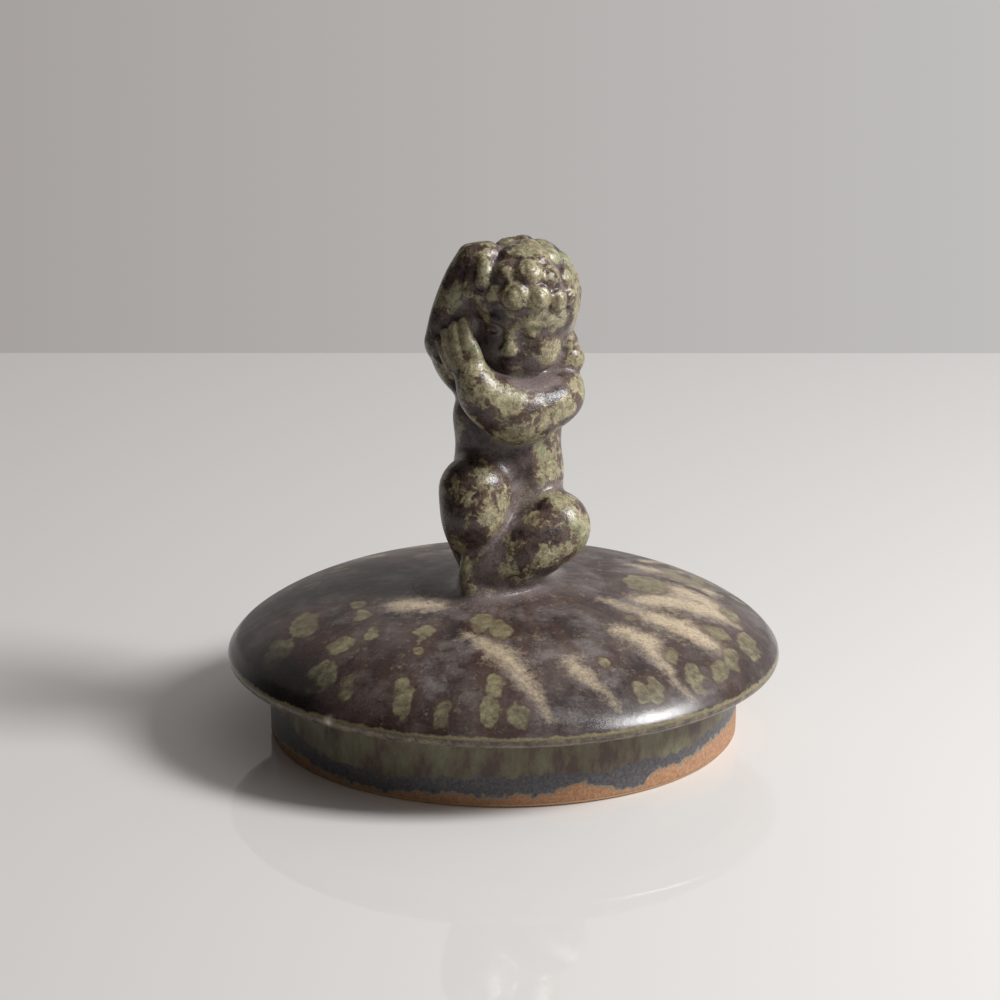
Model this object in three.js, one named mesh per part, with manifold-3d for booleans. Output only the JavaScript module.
// Stoneware jar lid whose knob is a small seated child figure.
//
// The lid is thrown as a low dome with an overhanging rim, a locating flange is luted under it,
// and the figure is built up from rolled and pressed lumps of clay: torso, head, hair, arms,
// hands, legs and feet. The kiln fuses them all. Here every lump of clay is its own solid, and a
// thin gap stands for the slip that joins it to the next one.
//
// Millimetres, +Z up, the figure faces -Y. The origin is the centre of the foot ring.
import * as THREE from 'three';
import { mergeVertices } from 'three/addons/utils/BufferGeometryUtils.js';
import Module from 'manifold-3d';

const wasm = await Module();
wasm.setup();

// ---------- Driving dimensions ----------

const RIM_RADIUS = 65; // widest part of the lid
const RIM_EDGE_Z = 20.4; // height the dome's curve would come down to at the rim
// The top rolls down over a soft lip instead: [radius, height], from the dome to the underside.
const RIM_LIP = [[63.5, 22.1], [64.4, 21.0], [65, 19.8], [64.6, 18.6], [63.4, 17.6]];
const RIM_SEAT_Z = 17.6; // flat underside that rests on the jar's mouth
const DOME_RISE = 16; // crown above the rim's edge
const DOME_FLATNESS = 3.1; // higher is flatter in the middle
const DOME_SHOULDER = 0.8; // lower is rounder at the rim
const DOME_WALL = 5.6; // thickness of the thrown dome
const HOLLOW_CORNER = 3; // round inner corner where the dome's hollow meets the flange

const FLANGE_RADIUS = 55.2; // outside of the locating flange
const FLANGE_WALL = 4.6;
const FLANGE_TAPER = 0.3; // how far its outside leans in towards the foot
const FOOT_CHAMFER = 1.1; // wiped edge of the foot ring
const LUTE_DEPTH = 0.6; // how far the flange is let into the dome's underside

const JOINT_GAP = 0.3; // slip joint between two lumps of clay
const ROUND_SIDES = 72; // facets round the lid
const MOUND_SIDES = 32;
const ROLL_SIDES = 14; // facets round a roll of clay
const FINGER_SIDES = 6;
const CURL_SIDES = 6;
const ROLL_STEPS = 6; // rings along a roll of clay
const CAP_STEPS = 3; // rings in the round end of a limb

const SEAT = { x: 1.5, y: 0, radiusX: 17, radiusY: 15.5, foot: 36.75, rise: 2.3 };

// A roll of clay is a list of stations: [x, y, z, radius]. A limb is two rolls that share a
// station at the elbow or knee.
const TORSO = [
  [1.8, 3.2, 42.0, 12.6],
  [1.8, 3.2, 51, 13.4],
  [1.3, 3.0, 64, 12.3],
  [1.1, 2.2, 77, 12.4],
  [1.4, 1.0, 85, 9.8],
  [2.8, -0.6, 91.5, 6.2],
];
const TORSO_DEPTH = 0.8; // front-to-back depth over width

const LEFT_ARM = [
  [[14.6, 1.6, 91.2, 4.5], [13.2, -3.0, 84.6, 6.0], [6.4, -9.0, 80.8, 6.9]],
  [[2.4, -9.8, 80.8, 7.9], [-4.0, -11.4, 85.0, 6.1], [-7.6, -11.4, 91.2, 4.0]],
];
const RIGHT_ARM = [
  [[-5.6, 2.0, 84.0, 5.6], [-10.4, 0.6, 89.0, 5.2], [-13.0, -1.6, 94.4, 4.4]],
  [[-13.6, -2.2, 95.6, 4.8], [-11.6, -3.4, 103.5, 4.3], [-9.2, -3.4, 111.0, 3.9], [-7.2, -3.2, 115.6, 3.3]],
];
const RIGHT_LEG = [
  [[-3.4, 1.0, 48.0, 8.0], [-5.4, -2.6, 55.5, 8.4], [-6.3, -6.0, 60.0, 7.6]],
  [[-6.4, -6.6, 60.8, 8.6], [-6.8, -8.6, 55.0, 7.7], [-7.8, -6.8, 48.0, 4.6], [-6.4, -5.6, 42.2, 3.8]],
];
const LEFT_LEG = [
  [[5.6, 1.0, 47.6, 7.8], [9.2, -1.8, 50.2, 8.2], [11.0, -4.4, 51.6, 7.6]],
  [[11.9, -5.4, 51.6, 8.4], [6.8, -9.0, 48.2, 7.8], [0.8, -10.8, 44.9, 6.0], [-2.8, -10.9, 44.2, 4.7]],
];
const LEFT_FOOT = [
  [-5.2, -11.4, 44.0, 4.5],
  [-6.0, -12.8, 42.4, 4.0],
  [-6.4, -14.0, 41.4, 2.8],
];
const RIGHT_FOOT = [
  [-8.2, -7.2, 41.6, 3.4],
  [-9.2, -9.0, 41.0, 2.4],
];

// The head is made facing -Y about its own centre, then turned, nodded and tilted into place.
const HEAD = { x: 4.4, y: -1.2, z: 106.4, yaw: -13, pitch: 13, roll: 4 };
const SKULL = { x: 0, y: 0, z: 0, radii: [11.2, 12.0, 12.0] };
const JAW = { x: 0.2, y: -3.4, z: -9.4, radii: [10.2, 8.8, 9.4] };
const NOSE = { x: 0, y: -11.8, z: -6.2, radii: [1.5, 1.8, 2.6] };

const HAIR_RADII = [12.8, 13.4, 13.0]; // outside of the hair, under its curls
const HAIR_NECK_Z = -12; // the hair stops here at the nape
const FACE_OPENING = { x: 0, y: -17, z: -12, radii: [12.4, 15.5, 14.5] };
// Rows of curls: elevation on the head, how many lie round it, and how far round from the
// middle of the forehead the row starts.
const CURL_RADIUS = 3.0;
const CURL_SINK = 1.4; // how far under the hair's surface a curl's centre lies
const CURL_ROWS = [
  { elevation: 22, count: 12, from: 0 },
  { elevation: 48, count: 8, from: 22 },
  { elevation: 74, count: 4, from: 0 },
  { elevation: -8, count: 6, from: 85 },
];

const LEFT_PALM = { x: -9.0, y: -11.3, z: 94.6, radii: [3.6, 2.9, 4.6] };
const LEFT_FINGERS = { count: 4, root: [-7.8, -12.2, 96.4], tip: [-9.2, -9.8, 102.8], step: [-1.75, 1.35, -0.9] };
const RIGHT_PALM = { x: -6.6, y: -4.8, z: 116.0, radii: [3.6, 4.0, 2.9] };
const RIGHT_FINGERS = { count: 4, root: [-4.2, -7.8, 116.0], tip: [-4.4, -12.2, 110.6], step: [-1.9, 0.9, -1.3] };
const FINGER_RADIUS = 1.3;
const FINGER_BEND = 0.6; // how far a finger's middle stands forward

const GLAZE = { color: 0x5c5148, roughness: 0.42, metalness: 0 };
const CLAY = { color: 0x8a5a3c, roughness: 0.85, metalness: 0 };

// ---------- Solids ----------

// A closed three.js geometry as a manifold-3d solid.
function solid(geometry) {
  const bare = geometry.index ? geometry.toNonIndexed() : geometry.clone();
  bare.deleteAttribute('normal');
  bare.deleteAttribute('uv');
  const merged = mergeVertices(bare, 1e-4);
  return new wasm.Manifold(new wasm.Mesh({
    numProp: 3,
    vertProperties: merged.attributes.position.array,
    triVerts: new Uint32Array(merged.index.array),
  }));
}

// The other way: a manifold-3d solid as a three.js geometry.
function geometryOf(shape) {
  const mesh = shape.getMesh();
  const geometry = new THREE.BufferGeometry();
  geometry.setAttribute('position', new THREE.BufferAttribute(new Float32Array(mesh.vertProperties), 3));
  geometry.setIndex(new THREE.BufferAttribute(mesh.triVerts, 1));
  geometry.computeVertexNormals();
  return geometry;
}

// A profile of [radius, height] points, turned about +Z.
function turned(points, sides = ROUND_SIDES) {
  const profile = points.map(([radius, height]) => new THREE.Vector2(radius, height));
  return new THREE.LatheGeometry(profile, sides).rotateX(Math.PI / 2);
}

// An ellipsoid at {x, y, z, radii}, thicker all over by grow.
function ellipsoid({ x, y, z, radii }, grow = 0, sides = 18) {
  const ball = new THREE.SphereGeometry(1, sides, Math.round(sides * 0.6));
  ball.rotateX(Math.PI / 2);
  ball.scale(radii[0] + grow, radii[1] + grow, radii[2] + grow);
  return ball.translate(x, y, z);
}

// A roll of clay through the stations. It is turned straight, with round ends, and its
// vertices are then carried onto the curve. depth flattens it across the given direction.
function roll(stations, { grow = 0, depth = 1, across = [1, 0, 0], sides = ROLL_SIDES, steps = ROLL_STEPS } = {}) {
  const centres = stations.map(([x, y, z]) => new THREE.Vector3(x, y, z));
  const radii = stations.map((station) => station[3] + grow);
  const curve = new THREE.CatmullRomCurve3(centres, false, 'centripetal');
  const length = curve.getLength();

  // Share of the whole length at each station, for reading a radius between two of them.
  const reach = [0];
  for (let i = 1; i < centres.length; i++) reach.push(reach[i - 1] + centres[i].distanceTo(centres[i - 1]));
  const share = reach.map((distance) => distance / reach.at(-1));
  const radiusAt = (u) => {
    const i = Math.max(1, share.findIndex((s) => s >= u - 1e-9));
    const t = THREE.MathUtils.smoothstep(u, share[i - 1], share[i]);
    return THREE.MathUtils.lerp(radii[i - 1], radii[i], t);
  };

  const profile = [];
  for (let i = 0; i <= CAP_STEPS; i++) {
    const angle = (i / CAP_STEPS) * Math.PI / 2;
    profile.push(new THREE.Vector2(radii[0] * Math.sin(angle), -radii[0] * Math.cos(angle)));
  }
  for (let i = 1; i < steps; i++) profile.push(new THREE.Vector2(radiusAt(i / steps), (i / steps) * length));
  for (let i = 0; i <= CAP_STEPS; i++) {
    const angle = (i / CAP_STEPS) * Math.PI / 2;
    const end = radii.at(-1);
    profile.push(new THREE.Vector2(end * Math.cos(angle), length + end * Math.sin(angle)));
  }
  profile[0].x = 0;
  profile.at(-1).x = 0;

  const geometry = new THREE.LatheGeometry(profile, sides);
  const position = geometry.attributes.position;
  const sideways = new THREE.Vector3(...across);
  const point = new THREE.Vector3();
  for (let i = 0; i < position.count; i++) {
    point.fromBufferAttribute(position, i);
    const along = THREE.MathUtils.clamp(point.y, 0, length);
    const tangent = curve.getTangentAt(along / length);
    const front = new THREE.Vector3().crossVectors(sideways, tangent).normalize();
    const side = new THREE.Vector3().crossVectors(tangent, front);
    const carried = curve.getPointAt(along / length)
      .addScaledVector(tangent, point.y - along)
      .addScaledVector(side, point.x)
      .addScaledVector(front, point.z * depth);
    position.setXYZ(i, carried.x, carried.y, carried.z);
  }
  return solid(geometry);
}

// ---------- The lid ----------

function domeTop(radius) {
  const share = Math.min(1, radius / RIM_RADIUS);
  return RIM_EDGE_Z + DOME_RISE * (1 - share ** DOME_FLATNESS) ** DOME_SHOULDER;
}

// Dome, rim and flat seat in one closed profile, from the crown outwards and back underneath.
function lidDome() {
  const outside = [0, 0.16, 0.32, 0.46, 0.58, 0.68, 0.77, 0.85, 0.91, 0.96]
    .map((share) => [share * RIM_RADIUS, domeTop(share * RIM_RADIUS)]);
  const rim = [
    ...RIM_LIP,
    [FLANGE_RADIUS + JOINT_GAP, RIM_SEAT_Z],
    [FLANGE_RADIUS + JOINT_GAP, RIM_SEAT_Z + LUTE_DEPTH],
  ];
  const hollowRadius = FLANGE_RADIUS - FLANGE_WALL;
  const ceiling = (radius) => domeTop(radius) - DOME_WALL;
  const corner = hollowRadius - HOLLOW_CORNER;
  const inside = [
    [hollowRadius, RIM_SEAT_Z + LUTE_DEPTH],
    [hollowRadius, ceiling(corner) - HOLLOW_CORNER],
    [hollowRadius - 0.3 * HOLLOW_CORNER, ceiling(corner) - 0.3 * HOLLOW_CORNER],
    ...[1, 0.82, 0.64, 0.44, 0.22, 0].map((share) => [share * corner, ceiling(share * corner)]),
  ];
  return solid(turned([...outside, ...rim, ...inside].reverse()));
}

function locatingFlange() {
  const outer = FLANGE_RADIUS;
  const inner = FLANGE_RADIUS - FLANGE_WALL;
  const top = RIM_SEAT_Z + LUTE_DEPTH;
  const profile = [
    [outer, top],
    [outer - FLANGE_TAPER, FOOT_CHAMFER],
    [outer - FLANGE_TAPER - FOOT_CHAMFER, 0],
    [inner + FOOT_CHAMFER, 0],
    [inner, FOOT_CHAMFER],
    [inner, top],
    [outer, top],
  ];
  return solid(turned(profile.reverse()));
}

// Low oval mound of slip and clay that the figure is stuck down with. Its edge flares out thin.
function seatMound(grow = 0) {
  const profile = [[0, 0], [1, 0], [1, 0.12], [0.93, 0.32], [0.84, 0.66], [0.72, 1], [0, 1]];
  const mound = turned(profile, MOUND_SIDES);
  mound.scale(SEAT.radiusX + grow, SEAT.radiusY + grow, SEAT.rise + grow);
  mound.translate(SEAT.x, SEAT.y, SEAT.foot);
  return solid(mound);
}

// ---------- The figure ----------

// An upper and a lower roll, joined at the elbow or knee.
const limb = ([upper, lower], options) => roll(upper, options).add(roll(lower, options));

const torso = (grow = 0) => roll(TORSO, { grow, depth: TORSO_DEPTH, sides: 16, steps: 9 });
const leftArm = (grow = 0) => limb(LEFT_ARM, { grow, across: [0, 0, 1] });
const rightArm = (grow = 0) => limb(RIGHT_ARM, { grow, across: [0, 1, 0] });
const leftLeg = (grow = 0) => limb(LEFT_LEG, { grow, across: [0, 0, 1] });
const rightLeg = (grow = 0) => limb(RIGHT_LEG, { grow, across: [1, 0, 0] });
const leftFoot = (grow = 0) => roll(LEFT_FOOT, { grow, steps: 3 });
const rightFoot = (grow = 0) => roll(RIGHT_FOOT, { grow, steps: 2 });

const headPlace = new THREE.Matrix4().compose(
  new THREE.Vector3(HEAD.x, HEAD.y, HEAD.z),
  new THREE.Quaternion().setFromEuler(new THREE.Euler(
    THREE.MathUtils.degToRad(HEAD.pitch),
    THREE.MathUtils.degToRad(HEAD.roll),
    THREE.MathUtils.degToRad(HEAD.yaw),
    'ZYX',
  )),
  new THREE.Vector3(1, 1, 1),
);
// A geometry made in the head's own frame, as a solid in the head's place.
const onTheHead = (geometry) => solid(geometry.applyMatrix4(headPlace));

function head(grow = 0) {
  const skull = onTheHead(ellipsoid(SKULL, grow));
  const jaw = onTheHead(ellipsoid(JAW, grow));
  const nose = onTheHead(ellipsoid(NOSE, grow, 8));
  return skull.add(jaw).add(nose);
}

// Centre of a curl, at a turn from the middle of the forehead and an elevation.
function curlCentre(turn, elevation) {
  const t = THREE.MathUtils.degToRad(turn);
  const e = THREE.MathUtils.degToRad(elevation);
  return {
    x: SKULL.x + (HAIR_RADII[0] - CURL_SINK) * Math.cos(e) * Math.sin(t),
    y: SKULL.y - (HAIR_RADII[1] - CURL_SINK) * Math.cos(e) * Math.cos(t),
    z: SKULL.z + (HAIR_RADII[2] - CURL_SINK) * Math.sin(e),
  };
}

// Cap of hair with the face left open, and knobs of curls over it.
function hair(grow = 0) {
  const cap = onTheHead(ellipsoid({ ...SKULL, radii: HAIR_RADII }, grow));
  const belowNape = onTheHead(new THREE.BoxGeometry(60, 60, 20).translate(0, 0, HAIR_NECK_Z - 10 - grow));
  const face = onTheHead(ellipsoid(FACE_OPENING, -grow));
  let shape = cap.subtract(belowNape).subtract(face);
  for (const row of CURL_ROWS) {
    const span = row.elevation < 0 ? 360 - 2 * row.from : 360;
    const first = row.elevation < 0 ? row.from + span / row.count / 2 : row.from;
    for (let i = 0; i < row.count; i++) {
      const centre = curlCentre(first + (span * i) / row.count, row.elevation);
      const curl = { ...centre, radii: [CURL_RADIUS, CURL_RADIUS, CURL_RADIUS] };
      shape = shape.add(onTheHead(ellipsoid(curl, grow, CURL_SIDES)));
    }
  }
  return shape;
}

// A palm with a row of fingers side by side.
function hand(palm, fingers, grow = 0) {
  let shape = solid(ellipsoid(palm, grow, 12));
  for (let i = 0; i < fingers.count; i++) {
    const shifted = (point) => point.map((value, axis) => value + fingers.step[axis] * i);
    const root = shifted(fingers.root);
    const tip = shifted(fingers.tip);
    const middle = root.map((value, axis) => (value + tip[axis]) / 2);
    middle[1] -= FINGER_BEND;
    const stations = [root, middle, tip].map((point) => [...point, FINGER_RADIUS]);
    shape = shape.add(roll(stations, { grow, sides: FINGER_SIDES, steps: 2 }));
  }
  return shape;
}
const leftHand = (grow = 0) => hand(LEFT_PALM, LEFT_FINGERS, grow);
const rightHand = (grow = 0) => hand(RIGHT_PALM, RIGHT_FINGERS, grow);

// ---------- Assembly ----------

// Each lump keeps clear of the ones before it by the joint gap, as if pressed against them.
const LUMPS = [
  ['seat_mound', seatMound],
  ['torso', torso],
  ['head', head],
  ['hair', hair],
  ['left_arm', leftArm],
  ['left_hand', leftHand],
  ['right_arm', rightArm],
  ['right_hand', rightHand],
  ['left_foot', leftFoot],
  ['left_leg', leftLeg],
  ['right_leg', rightLeg],
  ['right_foot', rightFoot],
];

const lid = new THREE.Group();

function addNode(name, shape, finish) {
  const mesh = new THREE.Mesh(geometryOf(shape), new THREE.MeshStandardMaterial(finish));
  mesh.name = name;
  lid.add(mesh);
}

addNode('lid_dome', lidDome(), GLAZE);
addNode('locating_flange', locatingFlange(), CLAY);

const pressed = [];
for (const [name, shapeOf] of LUMPS) {
  let shape = shapeOf();
  for (const earlier of pressed) shape = shape.subtract(earlier(JOINT_GAP));
  const bodies = shape.decompose().sort((a, b) => b.volume() - a.volume());
  addNode(name, bodies[0], GLAZE);
  pressed.push(shapeOf);
}

export default lid;
